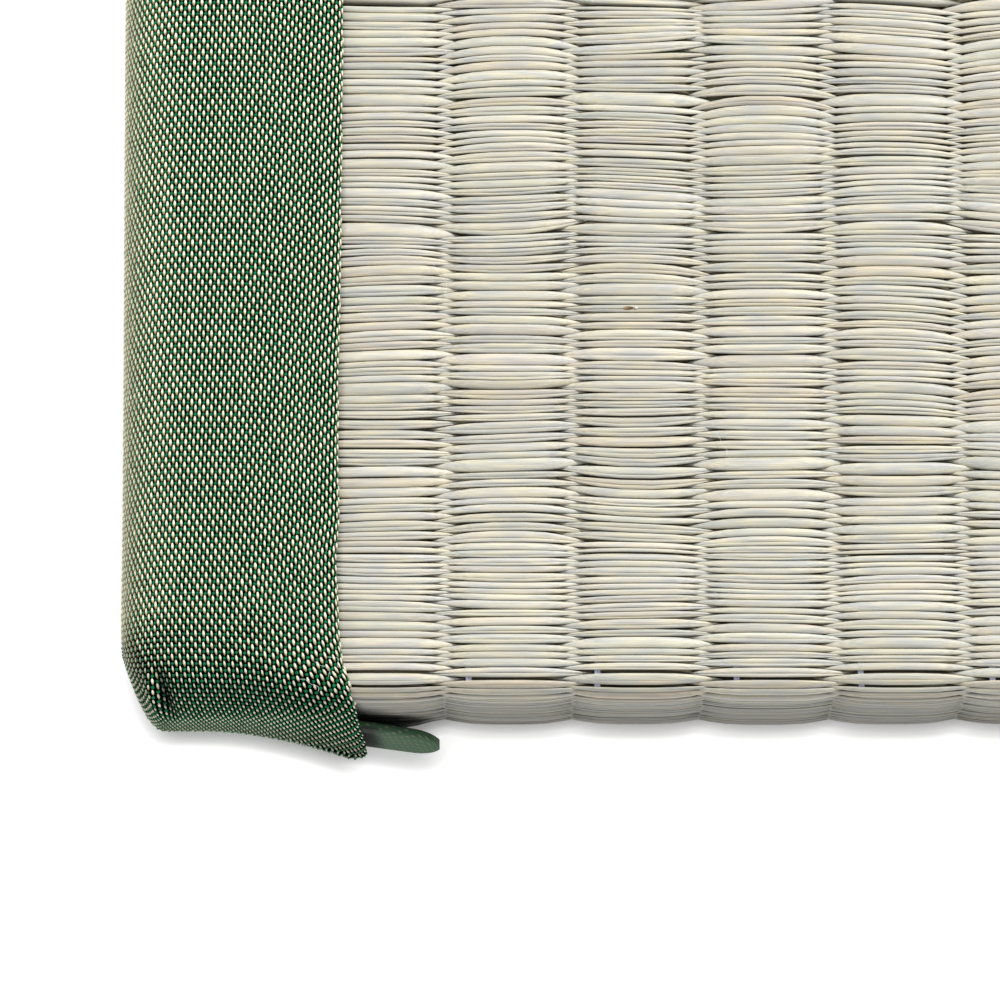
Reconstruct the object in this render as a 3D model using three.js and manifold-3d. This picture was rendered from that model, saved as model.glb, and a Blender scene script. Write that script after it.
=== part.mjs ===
// A tatami mat: a flat core under a cover of woven rush, with a cloth border on each long side.
// Millimetres, +Z up. X runs across the borders, along the rush. Y runs along the borders and the ribs.
// The mat lies flat, and its near left corner is the one with the loose fold.

import * as THREE from "three";
import Module from "manifold-3d";
import { mergeVertices } from "three/addons/utils/BufferGeometryUtils.js";

// The ribs of the weave set the width: one rib for each pair of hidden warps.
const RIB_PITCH = 15;
const RIB_COUNT = 55;
const SIDE_BULGE = 1;
const WIDTH = RIB_PITCH * RIB_COUNT + 2 * SIDE_BULGE;
const LENGTH = 820;
const THICKNESS = 20;
const RIB_CROWN = 0.9;

// The height of a rib across its width, as shares: steep beside the valleys, nearly flat along the middle.
const RIB_PROFILE = [
  [0, 0],
  [0.16, 0.68],
  [0.5, 1],
  [0.84, 0.68],
];

// The border cloth, doubled over its paper stiffener, and the hidden gap between it and the cover.
const CLOTH = 1.2;
const BORDER_SHOWING = 25.5;
const BORDER_TOP = THICKNESS + 0.8;
const ROLLED_RIM = 0.48;
const CLEARANCE = 0.45;

// The hidden step beside each border's rim, where the cover comes up from under the cloth to its own height.
const STEP_FOOT = BORDER_SHOWING + 1.1;
const STEP_HEAD = STEP_FOOT + 0.4;

// The border's folded edge is never quite straight: a long and a short wander, and the share of each.
const EDGE_WAVE = 0.3;
const LONG_WANDER = { length: 22, start: 1, share: 0.65 };
const SHORT_WANDER = { length: 9.5, start: 0, share: 0.35 };

// The mat's soft long edge: the border slopes gently, then turns down on an arc and under on a smaller one.
const SHOULDER_RADIUS = 11.5;
const SHOULDER_START = THREE.MathUtils.degToRad(21);
const SHOULDER_SLOPE_DROP = 3;
const UNDER_RADIUS = 5;
const CORNER_WIDTH = 4.8;
const CORNER_SETBACK = 8.5;
const CORNER_CURVE = 2.2;

// How the rush cover turns down over an end, and how far the face below leans in.
const RUSH_CREST = { run: 2.8, drop: 2.8 };
const RUSH_FOOT = { run: 3, rise: 3.5 };
const RUSH_LEAN = 0.3;

// How a border turns down over an end: softly along its middle, sharply at its inner edge.
const BORDER_OVERHANG = 0.3;
const SOFT_CREST = { run: 6.2, drop: 9 };
const SHARP_CREST = { run: 3.6, drop: 5 };
const BORDER_FOOT = { run: 3, rise: 3 };

// The loose fold at the near left corner leans out towards its foot and widens as it falls.
const FOLD_START = 10;
const FOLD_CURVE = 1.9;
const FOLD_LEAN = 3.9;
const FOLD_WIDENS = 4.5;

// The end of the side flap, doubled, that pokes out from behind the loose fold and stands tallest there.
const TAIL = {
  start: 23.5,
  end: 37.8,
  low: 0.5,
  high: 6.5,
  rootHigh: 11.2,
  rootReach: 0.8,
  thick: 1.5,
  out: 0.8,
  drift: 1.05,
  lean: 0.9,
  roundsAt: 0.78,
  roundness: 0.94,
  sections: [0, 0.2, 0.5, 0.78, 0.87, 0.94, 0.98, 1],
};

// The tail's cross-section, as shares of its thickness and of half its height.
const TAIL_OUTLINE = [
  [-0.5, -0.85],
  [-0.5, 0.85],
  [-0.2, 1],
  [0.2, 1],
  [0.5, 0.85],
  [0.5, -0.85],
  [0.2, -1],
  [-0.2, -1],
];

const LEFT = -WIDTH / 2;
const END = LENGTH / 2;
const RIM = BORDER_SHOWING;
const TOP_STEPS = 24;
const FOOT_STEPS = 2;

// On the thin outer edge, the crest and the foot of an end shrink to take this share of its height at most.
const FULL_FACE = 0.96;

const rushFinish = new THREE.MeshStandardMaterial({
  color: 0xc5c2ab,
  roughness: 0.7,
  metalness: 0,
});
const clothFinish = new THREE.MeshStandardMaterial({
  color: 0x5d7f57,
  roughness: 0.75,
  metalness: 0,
});

const mix = THREE.MathUtils.lerp;
const ease = THREE.MathUtils.smoothstep;

// Height that a quarter circle of the given radius has lost at a distance in from its outer end.
function roundLoss(distance, radius) {
  const left = Math.max(0, radius - distance);
  return radius - Math.sqrt(radius * radius - left * left);
}

// The border's top at a distance in from the mat's long edge: how far it has dropped, and its slope's angle.
function shoulder(distance) {
  const arcWidth = SHOULDER_RADIUS * (1 - Math.sin(SHOULDER_START));
  if (distance >= arcWidth) {
    const slopeWidth = RIM - arcWidth;
    const share = (RIM - distance) / slopeWidth;
    const drop = SHOULDER_SLOPE_DROP * share * share;
    return { drop, angle: Math.atan((2 * SHOULDER_SLOPE_DROP * share) / slopeWidth) };
  }
  const angle = Math.asin(1 - distance / SHOULDER_RADIUS);
  const arcDrop = Math.cos(SHOULDER_START) - Math.cos(angle);
  return { drop: SHOULDER_SLOPE_DROP + SHOULDER_RADIUS * arcDrop, angle };
}

// One closed ring round the mat across its width: near foot, near end, top, far end, underside.
// It stands at xLow along its foot and at xHigh along its top. The near end leans out by `lean` towards
// its foot and moves across by `widen` there, and the top's edge moves across by `wave`.
function ring(xLow, xHigh, size) {
  const { face, bottom, top, crest, foot, crestSteps, topSteps } = size;
  const { lean = 0, leanIn = 0, widen = 0, wave = () => 0 } = size;
  const height = top - bottom;
  const fit = Math.min(1, (FULL_FACE * height) / (crest.drop + foot.rise));
  const end = (side) => {
    const sweep = [];
    for (let i = 0; i <= FOOT_STEPS; i++) {
      const a = (Math.PI / 2) * (i / FOOT_STEPS);
      const y = face - foot.run * fit * (1 - Math.sin(a));
      sweep.push([y, bottom + foot.rise * fit * (1 - Math.cos(a))]);
    }
    for (let i = 0; i <= crestSteps; i++) {
      const a = (Math.PI / 2) * (i / crestSteps);
      const y = face - crest.run * fit * (1 - Math.cos(a));
      sweep.push([y, top - crest.drop * fit * (1 - Math.sin(a))]);
    }
    return sweep.map(([y, z]) => {
      const high = (z - bottom) / height;
      const clear = Math.min(1, (z - bottom) / (foot.rise * fit));
      const out = side < 0 ? lean * (1 - high) : 0;
      const across = side < 0 ? widen * (1 - high) * clear : 0;
      const x = mix(xLow, xHigh, high) + across;
      return new THREE.Vector3(x, side * (y + out - leanIn * (1 - high)), z);
    });
  };
  const points = end(-1);
  const reach = face - crest.run * fit;
  for (let i = 1; i < topSteps; i++) {
    const y = mix(-reach, reach, i / topSteps);
    points.push(new THREE.Vector3(xHigh + wave(y), y, top));
  }
  points.push(...end(1).reverse());
  return points;
}

// Joins rings of equal length into one closed skin, with a flat cap on the first and the last.
function skin(rings) {
  const count = rings[0].length;
  const index = [];
  for (let r = 0; r + 1 < rings.length; r++) {
    for (let i = 0; i < count; i++) {
      const a = r * count + i;
      const b = r * count + ((i + 1) % count);
      index.push(a, a + count, b, b, a + count, b + count);
    }
  }
  const points = rings.flat();
  const capped = (r, turned) => {
    const middle = rings[r].reduce((sum, p) => sum.add(p), new THREE.Vector3());
    points.push(middle.divideScalar(count));
    for (let i = 0; i < count; i++) {
      const a = r * count + i;
      const b = r * count + ((i + 1) % count);
      index.push(points.length - 1, turned ? b : a, turned ? a : b);
    }
  };
  capped(0, false);
  capped(rings.length - 1, true);
  const geometry = new THREE.BufferGeometry();
  geometry.setFromPoints(points);
  geometry.setIndex(index);
  return geometry;
}

// The border's ring at a distance in from the mat's long edge, drawn in by `inset` from the outer skin.
function borderRing(distance, inset, options = {}) {
  const soft = ease(RIM - distance, 0, RIM / 2);
  const corner = Math.max(0, 1 - distance / CORNER_WIDTH);
  const setback = CORNER_SETBACK * Math.pow(corner, CORNER_CURVE);
  const { drop, angle } = shoulder(distance);
  const under = Math.asin(Math.max(0, 1 - distance / UNDER_RADIUS));
  const fold = Math.max(0, (distance - FOLD_START) / (RIM - FOLD_START));
  const loose = options.loose ? Math.pow(fold, FOLD_CURVE) : 0;
  const x = LEFT + distance + (options.nose ?? 0);
  return ring(x + inset * Math.sin(under), x + inset * Math.sin(angle), {
    face: END + BORDER_OVERHANG - inset - setback,
    bottom: roundLoss(distance, UNDER_RADIUS) + inset * Math.cos(under),
    top: BORDER_TOP - drop - inset * Math.cos(angle),
    crest: {
      run: mix(SHARP_CREST.run, SOFT_CREST.run, soft),
      drop: mix(SHARP_CREST.drop, SOFT_CREST.drop, soft),
    },
    foot: BORDER_FOOT,
    crestSteps: options.crestSteps ?? 5,
    topSteps: options.topSteps ?? TOP_STEPS,
    lean: FOLD_LEAN * loose,
    widen: FOLD_WIDENS * loose * ease(distance, RIM / 2, RIM),
    wave: options.wave,
  });
}

function edgeWander(y) {
  const bend = ({ length, start, share }) => share * Math.sin(y / length + start);
  return EDGE_WAVE * (bend(LONG_WANDER) + bend(SHORT_WANDER));
}

// Distances in from the mat's long edge at which the border and the cover under it have a ring.
const STATIONS = [0, 0.5, 1.7, 3.6, 7.4, 12, 17, 22];

// One border: a long cap over the mat's edge, its outer skin turned in at the rim to the inner one.
function borderGeometry(loose) {
  const rings = [];
  for (const distance of STATIONS) {
    rings.push(borderRing(distance, 0, { loose }));
  }
  const rim = { loose, wave: edgeWander };
  rings.push(borderRing(RIM, 0, rim));
  rings.push(borderRing(RIM, CLOTH / 2, { ...rim, nose: ROLLED_RIM }));
  rings.push(borderRing(RIM, CLOTH, rim));
  for (const distance of STATIONS.toReversed()) {
    rings.push(borderRing(distance, CLOTH, { loose }));
  }
  return skin(rings);
}

// The doubled tail: a flat strip that starts behind the fold, drifts off the end face and has a rounded tip.
function tailGeometry() {
  const rings = TAIL.sections.map((share) => {
    const high = mix(TAIL.high, TAIL.rootHigh, Math.min(1, (1 - share) / TAIL.rootReach));
    const middle = (TAIL.low + high) / 2;
    const half = (high - TAIL.low) / 2;
    const past = Math.max(0, (share - TAIL.roundsAt) / (1 - TAIL.roundsAt));
    const tall = half * Math.sqrt(1 - TAIL.roundness * past * past);
    const x = LEFT + mix(TAIL.start, TAIL.end, share);
    const drifted = TAIL.out + TAIL.drift * share;
    return TAIL_OUTLINE.map(([depth, up]) => {
      const z = middle + tall * up;
      const leaned = TAIL.lean * share * (1 - (z - TAIL.low) / (high - TAIL.low));
      return new THREE.Vector3(x, -(END + drifted + leaned) + TAIL.thick * depth, z);
    });
  });
  return skin(rings);
}

// The cover's rings: hidden ones that follow the inside of the borders, then four to each visible rib.
function coverGeometry() {
  const inset = CLOTH + CLEARANCE;
  const plain = { crestSteps: 3, topSteps: 1 };
  const hidden = [...STATIONS, RIM];
  const left = hidden.map((distance) => borderRing(distance, inset, plain));
  const seat = borderRing(RIM, inset, plain);
  left.push(seat.map((p) => p.clone().setX(LEFT + STEP_FOOT)));
  const right = left.map((points) => points.map((p) => p.clone().setX(-p.x))).reverse();
  const first = LEFT + STEP_HEAD;
  const visible = [];
  for (let rib = 0; rib <= RIB_COUNT; rib++) {
    const valley = (rib - Math.ceil(RIB_COUNT / 2)) * RIB_PITCH;
    for (const [share, raised] of RIB_PROFILE) {
      visible.push([valley + share * RIB_PITCH, raised]);
    }
  }
  const crownAt = (x) => {
    const next = visible.findIndex(([at]) => at > x);
    const [[x0, low], [x1, high]] = [visible[next - 1], visible[next]];
    return mix(low, high, (x - x0) / (x1 - x0));
  };
  const stations = [first, ...visible.map(([x]) => x), -first];
  const shown = stations.filter((x) => x >= first && x <= -first);
  const middle = shown.map((x) => {
    const sunk = RIB_CROWN * (1 - crownAt(x));
    return ring(x, x, {
      face: END - sunk,
      bottom: 0,
      top: THICKNESS - sunk,
      crest: RUSH_CREST,
      foot: RUSH_FOOT,
      leanIn: RUSH_LEAN,
      ...plain,
    });
  });
  return skin([...left, ...middle, ...right]);
}

const wasm = await Module();
wasm.setup();

function solid(geometry) {
  const bare = geometry.clone();
  bare.deleteAttribute("normal");
  bare.deleteAttribute("uv");
  const merged = mergeVertices(bare, 1e-4);
  return new wasm.Manifold(
    new wasm.Mesh({
      numProp: 3,
      vertProperties: merged.attributes.position.array,
      triVerts: new Uint32Array(merged.index.array),
    }),
  );
}

function joined(first, second) {
  const { vertProperties, triVerts } = solid(first).add(solid(second)).getMesh();
  const geometry = new THREE.BufferGeometry();
  geometry.setAttribute("position", new THREE.BufferAttribute(vertProperties, 3));
  geometry.setIndex(new THREE.BufferAttribute(triVerts, 1));
  return geometry;
}

function piece(name, geometry, finish) {
  geometry.computeVertexNormals();
  const mesh = new THREE.Mesh(geometry, finish);
  mesh.name = name;
  return mesh;
}

const mat = new THREE.Group();
mat.add(piece("rush_cover", coverGeometry(), rushFinish));
mat.add(piece("border_left", joined(borderGeometry(true), tailGeometry()), clothFinish));
const borderRight = piece("border_right", borderGeometry(false), clothFinish);
borderRight.scale.x = -1;
mat.add(borderRight);

// The origin is under the middle of the whole mat, so the loose fold moves the rest back a little.
const bounds = new THREE.Box3().setFromObject(mat, true);
mat.position.y = -(bounds.min.y + bounds.max.y) / 2;

export default mat;
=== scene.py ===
import math

import bpy
import numpy as np
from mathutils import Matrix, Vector


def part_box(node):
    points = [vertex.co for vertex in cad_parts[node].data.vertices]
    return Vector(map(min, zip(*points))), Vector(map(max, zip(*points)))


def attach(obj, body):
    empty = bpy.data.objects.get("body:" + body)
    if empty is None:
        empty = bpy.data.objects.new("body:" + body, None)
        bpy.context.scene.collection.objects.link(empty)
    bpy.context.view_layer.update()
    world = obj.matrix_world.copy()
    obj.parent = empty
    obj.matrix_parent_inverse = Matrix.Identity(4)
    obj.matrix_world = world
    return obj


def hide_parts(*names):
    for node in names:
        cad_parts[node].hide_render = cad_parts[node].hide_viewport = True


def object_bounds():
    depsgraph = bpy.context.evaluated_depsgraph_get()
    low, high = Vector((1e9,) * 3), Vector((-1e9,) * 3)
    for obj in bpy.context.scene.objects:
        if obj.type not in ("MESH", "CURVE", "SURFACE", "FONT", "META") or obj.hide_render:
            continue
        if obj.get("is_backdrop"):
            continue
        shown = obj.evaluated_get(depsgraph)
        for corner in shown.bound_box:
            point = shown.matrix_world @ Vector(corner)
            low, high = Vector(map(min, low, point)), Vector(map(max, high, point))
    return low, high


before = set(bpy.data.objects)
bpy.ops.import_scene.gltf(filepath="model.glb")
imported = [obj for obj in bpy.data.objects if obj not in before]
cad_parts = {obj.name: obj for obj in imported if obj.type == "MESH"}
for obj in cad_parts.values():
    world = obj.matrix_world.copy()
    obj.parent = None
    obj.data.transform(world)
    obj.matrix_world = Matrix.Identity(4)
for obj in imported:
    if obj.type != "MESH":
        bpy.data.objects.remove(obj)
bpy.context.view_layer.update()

# The camera stands over the near left corner of the mat and tips a little away from the viewer,
# so the top shows nearly in plan and the near end as a thin foreshortened band.
LENS_TILT = math.radians(13.5)
LENS_RANGE = 0.706
LENS_LENGTH = 216
SENSOR_WIDTH = 36
AIM_IN_FROM_SIDE = 0.045
AIM_IN_FROM_END = 0.021
RUSH_TURN = 0.0028

rush_low, rush_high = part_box("rush_cover")
border_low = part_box("border_left")[0]
turn_starts = rush_low.y + RUSH_TURN
aim = Vector((border_low.x + AIM_IN_FROM_SIDE, turn_starts + AIM_IN_FROM_END, rush_high.z))
camera = bpy.data.objects.new("camera", bpy.data.cameras.new("camera"))
camera.data.sensor_width = SENSOR_WIDTH
camera.data.lens = LENS_LENGTH
camera.location = aim + LENS_RANGE * Vector((0, -math.sin(LENS_TILT), math.cos(LENS_TILT)))
camera.rotation_euler = (LENS_TILT, 0, 0)
bpy.context.scene.collection.objects.link(camera)
bpy.context.scene.camera = camera
bpy.context.scene.view_settings.view_transform = "Standard"

# The studio: a plain pale floor, an even pale room, and one soft lamp high up beyond the far right. The floor
# glows a little, and less so in a narrow strip under the mat's edge, which makes its contact shadow.
FLOOR_SIZE = 60.0
FLOOR_PALE = (0.82, 0.82, 0.82, 1)
FLOOR_GLOW = 0.68
CONTACT_REACH = 0.0024
CONTACT_LOOKS = (-0.35, 0.85, 0.4)
CONTACT_FALL = 2.0
CONTACT_SAMPLES = 8
ROOM_LIGHT = 0.68
LAMP_FROM = Vector((0.34, 0.60, 0.70))
LAMP_STRENGTH = 2.9
LAMP_SOFTNESS = math.radians(4)
LAMP_COLOUR = (1, 0.988, 0.972)


def fill(node, sockets):
    """Give a node's sockets their plain values, or link them to the sockets that feed them."""
    for place, value in sockets.items():
        if isinstance(value, bpy.types.NodeSocket):
            node.id_data.links.new(value, node.inputs[place])
        else:
            node.inputs[place].default_value = value


def add_node(tree, kind, sockets, **fields):
    made = tree.nodes.new(kind)
    for field, value in fields.items():
        setattr(made, field, value)
    fill(made, sockets)
    return made


def maths(tree, operation, a, b):
    return add_node(tree, "ShaderNodeMath", {0: a, 1: b}, operation=operation).outputs[0]


def new_finish(name):
    finish = bpy.data.materials.new(name)
    finish.use_nodes = True
    return finish, finish.node_tree, finish.node_tree.nodes["Principled BSDF"]


def turned_in(points, faces):
    """Whether the faces point into the closed forms that they bound."""
    triangles = np.concatenate([
        block[:, [0, i, i + 1]] for block in faces for i in range(1, block.shape[1] - 1)])
    a, b, c = points[triangles[:, 0]], points[triangles[:, 1]], points[triangles[:, 2]]
    return np.einsum("ij,ij->i", a, np.cross(b, c)).sum() < 0


def make_mesh(name, points, faces, finish, unwrap=None):
    """A smooth mesh from arrays: points, blocks of triangles or quads, and the same blocks of UV corners."""
    if turned_in(points, faces):
        faces = [block[:, ::-1] for block in faces]
        unwrap = unwrap and [block[:, ::-1] for block in unwrap]
    mesh = bpy.data.meshes.new(name)
    corners = np.concatenate([block.ravel() for block in faces]).astype(np.int32)
    sizes = np.concatenate([np.full(len(block), block.shape[1]) for block in faces])
    starts = np.concatenate([[0], np.cumsum(sizes)[:-1]]).astype(np.int32)
    mesh.vertices.add(len(points))
    mesh.vertices.foreach_set("co", np.asarray(points, np.float32).ravel())
    mesh.loops.add(len(corners))
    mesh.loops.foreach_set("vertex_index", corners)
    mesh.polygons.add(len(sizes))
    mesh.polygons.foreach_set("loop_start", starts)
    mesh.polygons.foreach_set("use_smooth", np.ones(len(sizes), bool))
    mesh.update(calc_edges=True)
    if unwrap:
        corner_uv = np.concatenate([block.reshape(-1, 2) for block in unwrap])
        mesh.uv_layers.new(name="OFBake").uv.foreach_set("vector", corner_uv.astype(np.float32).ravel())
    mesh.materials.append(finish)
    piece = bpy.data.objects.new(name, mesh)
    bpy.context.scene.collection.objects.link(piece)
    return piece


floor_finish, tree, shader = new_finish("pale_floor")
looks = add_node(tree, "ShaderNodeCombineXYZ", dict(zip("XYZ", CONTACT_LOOKS)))
open_sky = add_node(tree, "ShaderNodeAmbientOcclusion", {
    "Normal": looks.outputs[0], "Distance": CONTACT_REACH}, samples=CONTACT_SAMPLES)
opened = maths(tree, "POWER", open_sky.outputs["AO"], CONTACT_FALL)
fill(shader, {"Base Color": FLOOR_PALE, "Roughness": 0.9, "Emission Color": (1, 1, 1, 1),
              "Emission Strength": maths(tree, "MULTIPLY", opened, FLOOR_GLOW)})
half_floor = FLOOR_SIZE / 2
floor_points = np.array([(x, y, 0) for y in (-half_floor, half_floor) for x in (-half_floor, half_floor)])
floor = make_mesh("floor", floor_points, [np.array([(0, 1, 3, 2)])], floor_finish)
floor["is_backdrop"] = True

room = bpy.data.worlds.new("room")
room.use_nodes = True
fill(room.node_tree.nodes["Background"], {"Color": (1, 1, 1, 1), "Strength": ROOM_LIGHT})
bpy.context.scene.world = room

lamp = bpy.data.objects.new("lamp", bpy.data.lights.new("lamp", "SUN"))
lamp.data.energy = LAMP_STRENGTH
lamp.data.angle = LAMP_SOFTNESS
lamp.data.color = LAMP_COLOUR
lamp.rotation_euler = LAMP_FROM.to_track_quat("Z", "Y").to_euler()
bpy.context.scene.collection.objects.link(lamp)

# The mat under the weave: the flat core in its rush cover. The cover's own rushes are laid over it next,
# so this is the ground that shows between them, with the plain underside that nobody sees. Its streaks
# are the grain of the rushes beneath; its dark colour is painted shade for the deep gaps between the stems.
RIB = 0.015
RIBS = 56
SIDE = -RIB * RIBS / 2
LEFT = border_low.x
MIDDLE = (rush_low.y + rush_high.y) / 2
END_ALLOWANCE = 0.000042
END = (rush_high.y - rush_low.y) / 2 + END_ALLOWANCE
TOP = rush_high.z
RIB_CROWN = 0.0009
RIB_ROUNDNESS = 2.4
DRIFT, DRIFT_FROM, DRIFT_RISE, DRIFT_FALL = 0.00095, -0.363, 0.05, 0.3
RUSH_LEAN = 0.0003
FOOT_RUN = 0.003
FOOT_RISE = 0.0035
GROUND_SINK = 0.00085
# Painted shade: the ground is coloured much darker than the rushes, for the shaded gaps between the stems.
GROUND_DARK, GROUND_PALE = (0.040, 0.032, 0.019, 1), (0.22, 0.19, 0.12, 1)
CLOTH = 0.0012
RIM = 0.0255
COVER_GAP = 0.0006
BEHIND_TAIL = (0.024, 0.0385)
BEHIND_TAIL_SOFT = 0.003
BEHIND_TAIL_FADE = 0.0022
BEHIND_TAIL_HEAD = (0.0158, 0.0273, 0.98)
FOOT_SWELL = 0.0006
FOOT_SWELL_TO = 0.0365
FOOT_SWELL_HIGH = 0.0065
ROUND_SHARE = 0.96


def ease(value):
    held = np.clip(value, 0, 1)
    return held * held * (3 - 2 * held)


def quarter(steps):
    return np.linspace(0, math.pi / 2, steps + 1)


def end_profile(face, bottom, top, crest, foot, steps):
    """From the foot up an end face and over its crest: distances out from the middle, and heights."""
    foot_steps, face_steps, crest_steps = steps
    fit = min(1, ROUND_SHARE * (top - bottom) / (crest[1] + foot[1]))
    a, b = quarter(foot_steps), quarter(crest_steps)
    foot_top = bottom + foot[1] * fit
    crest_foot = top - crest[1] * fit
    wall = np.linspace(foot_top, crest_foot, face_steps + 1)[1:-1]
    out = np.concatenate([
        face - foot[0] * fit * (1 - np.sin(a)),
        np.full(len(wall), face),
        face - crest[0] * fit * (1 - np.cos(b)),
    ])
    high = np.concatenate([
        bottom + foot[1] * fit * (1 - np.cos(a)),
        wall,
        top - crest[1] * fit * (1 - np.sin(b)),
    ])
    return out, high


def skin_faces(rings, count):
    """Faces between closed rings of equal length, and a fan on the first ring and the last."""
    ring, step = np.meshgrid(np.arange(rings - 1), np.arange(count), indexing="ij")
    a = ring * count + step
    b = ring * count + (step + 1) % count
    walls = np.stack([a, a + count, b + count, b], -1).reshape(-1, 4)
    step = np.arange(count)
    first, last = rings * count, rings * count + 1
    base = (rings - 1) * count
    caps = [
        np.stack([np.full(count, first), step, (step + 1) % count], -1),
        np.stack([np.full(count, last), base + (step + 1) % count, base + step], -1),
    ]
    return [walls, *caps]


def skin(name, rings, finish):
    rings = np.asarray(rings)
    ends = [rings[0].mean(0), rings[-1].mean(0)]
    points = np.concatenate([rings.reshape(-1, 3), ends])
    return make_mesh(name, points, skin_faces(*rings.shape[:2]), finish)


BORDER_RISE = 0.0008
BORDER_TOP = TOP + BORDER_RISE
SHOULDER_RADIUS = 0.0115
SHOULDER_START = math.radians(21)
SHOULDER_DROP = 0.003
UNDER_RADIUS = 0.005
CORNER_WIDTH = 0.0048
CORNER_SETBACK = 0.0085
CORNER_CURVE = 1.8
OVERHANG = 0.0003
SOFT_CREST = (0.0062, 0.009)
SHARP_CREST = (0.0036, 0.005)
BORDER_FOOT = (0.003, 0.003)
FOLD_START = 0.010
FOLD_CURVE = 1.9
FOLD_LEAN = 0.0039
FOLD_WIDENS = 0.0034


def shoulder(distance):
    """The border's top at a distance in from the long edge: its drop, and the angle of its slope."""
    arc_width = SHOULDER_RADIUS * (1 - math.sin(SHOULDER_START))
    if distance >= arc_width:
        slope_width = RIM - arc_width
        share = (RIM - distance) / slope_width
        return SHOULDER_DROP * share * share, math.atan(2 * SHOULDER_DROP * share / slope_width)
    angle = math.asin(1 - distance / SHOULDER_RADIUS)
    return SHOULDER_DROP + SHOULDER_RADIUS * (math.cos(SHOULDER_START) - math.cos(angle)), angle


def graded_tops(reach):
    """Shares of the way from a ring's crest to the mat's middle, close together near the end."""
    near = np.arange(0.0012, 0.03, 0.0012)
    mid = np.arange(0.03, 0.11, 0.0025)
    far = np.linspace(0.11, reach, 36)
    return np.concatenate([near, mid, far]) / reach


TOP_SHARES = graded_tops(END)


def border_half_ring(distance, inset, side, loose=False, nose=0.0, steps=(3, 8, 10), shares=TOP_SHARES):
    """Half of a ring round the mat at a distance in from its long edge: foot, end, crest, then the top."""
    soft = float(ease((RIM - distance) / (RIM / 2)))
    corner = max(0.0, 1 - distance / CORNER_WIDTH)
    drop, angle = shoulder(distance)
    under = math.asin(max(0.0, 1 - distance / UNDER_RADIUS))
    bottom = UNDER_RADIUS * (1 - math.cos(under)) + inset * math.cos(under)
    top = BORDER_TOP - drop - inset * math.cos(angle)
    face = END + OVERHANG - inset - CORNER_SETBACK * corner ** CORNER_CURVE
    crest = [sharp + (gentle - sharp) * soft for sharp, gentle in zip(SHARP_CREST, SOFT_CREST)]
    out, high = end_profile(face, bottom, top, crest, BORDER_FOOT, steps)
    share = (high - bottom) / (top - bottom)
    x = distance + nose + inset * (math.sin(under) * (1 - share) + math.sin(angle) * share)
    if loose:
        fold = max(0.0, (distance - FOLD_START) / (RIM - FOLD_START)) ** FOLD_CURVE
        widen = FOLD_WIDENS * fold * float(ease((distance - RIM / 2) / (RIM / 2)))
        clear = np.clip((high - bottom) / BORDER_FOOT[1], 0, 1)
        out = out + FOLD_LEAN * fold * (1 - share)
        x = x + widen * np.sqrt(np.clip(1 - share, 0, 1)) * clear
    reach = np.concatenate([out, out[-1] * (1 - shares)])
    heights = np.concatenate([high, np.full(len(shares), top)])
    xs = np.concatenate([x, np.full(len(shares), x[-1])])
    return np.stack([LEFT + xs, side * reach + MIDDLE, heights], -1)


def whole_ring(near, far):
    return np.concatenate([near, far[-2::-1]])


def border_ring(distance, inset, loose=False, nose=0.0, **size):
    near = border_half_ring(distance, inset, -1, loose, nose, **size)
    return whole_ring(near, border_half_ring(distance, inset, 1, False, nose, **size))


def rib_height(x):
    """From 0 in a valley to 1 along a rib's middle."""
    within = np.abs((x - SIDE) / RIB % 1 - 0.5) * 2
    return 1 - within ** RIB_ROUNDNESS


def rib_drift(x):
    """How far a place lies to the right of where even ribs would put it: the weave is a little slack."""
    return DRIFT * ease((x - DRIFT_FROM) / DRIFT_RISE) * (1 - ease(x / DRIFT_FALL))


def between(inward, start, stop):
    """1 between two distances in from the long edge, falling softly to 0 at both."""
    return ease((inward - start) / BEHIND_TAIL_SOFT) * ease((stop - inward) / BEHIND_TAIL_SOFT)


def behind_tail(x, z):
    """From 0 to 1: how deep a place on the near end lies behind the tail of the left border."""
    high, high_at, fall = BEHIND_TAIL_HEAD
    head = high - fall * (x - LEFT - high_at)
    return between(x - LEFT, *BEHIND_TAIL) * ease((head - z) / BEHIND_TAIL_FADE)


def foot_swell(x, z):
    """How far the foot of the near end swells out to the tail that is pressed against it."""
    along = between(x - LEFT, BEHIND_TAIL[0], FOOT_SWELL_TO)
    return FOOT_SWELL * along * ease((FOOT_SWELL_HIGH - z) / BEHIND_TAIL_SOFT)


GROUND_STEPS = (3, 6, 5)
GROUND_SHARES = np.array([0.02, 0.34, 0.67, 1.0])


def ground_ring(x):
    sunk = RIB_CROWN * (1 - rib_height(x)) + GROUND_SINK
    crest, foot = (RUSH_TURN, RUSH_TURN), (FOOT_RUN, FOOT_RISE)
    out, high = end_profile(END - sunk, 0, TOP - sunk, crest, foot, GROUND_STEPS)
    reach = np.concatenate([out, out[-1] * (1 - GROUND_SHARES)])
    heights = np.concatenate([high, np.full(len(GROUND_SHARES), TOP - sunk)])
    near = np.stack([np.full(len(reach), x), MIDDLE - reach - foot_swell(x, heights), heights], -1)
    far = np.stack([np.full(len(reach), x), MIDDLE + reach, heights], -1)
    return whole_ring(near, far)


def streaks(tree, scales, detail):
    """Noise that is drawn out along the rushes."""
    place = add_node(tree, "ShaderNodeTexCoord", {})
    run = add_node(tree, "ShaderNodeMapping", {"Vector": place.outputs["Object"], "Scale": scales})
    noise = add_node(tree, "ShaderNodeTexNoise", {"Vector": run.outputs[0], "Scale": 1.0, "Detail": detail})
    return noise.outputs["Fac"]


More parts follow.
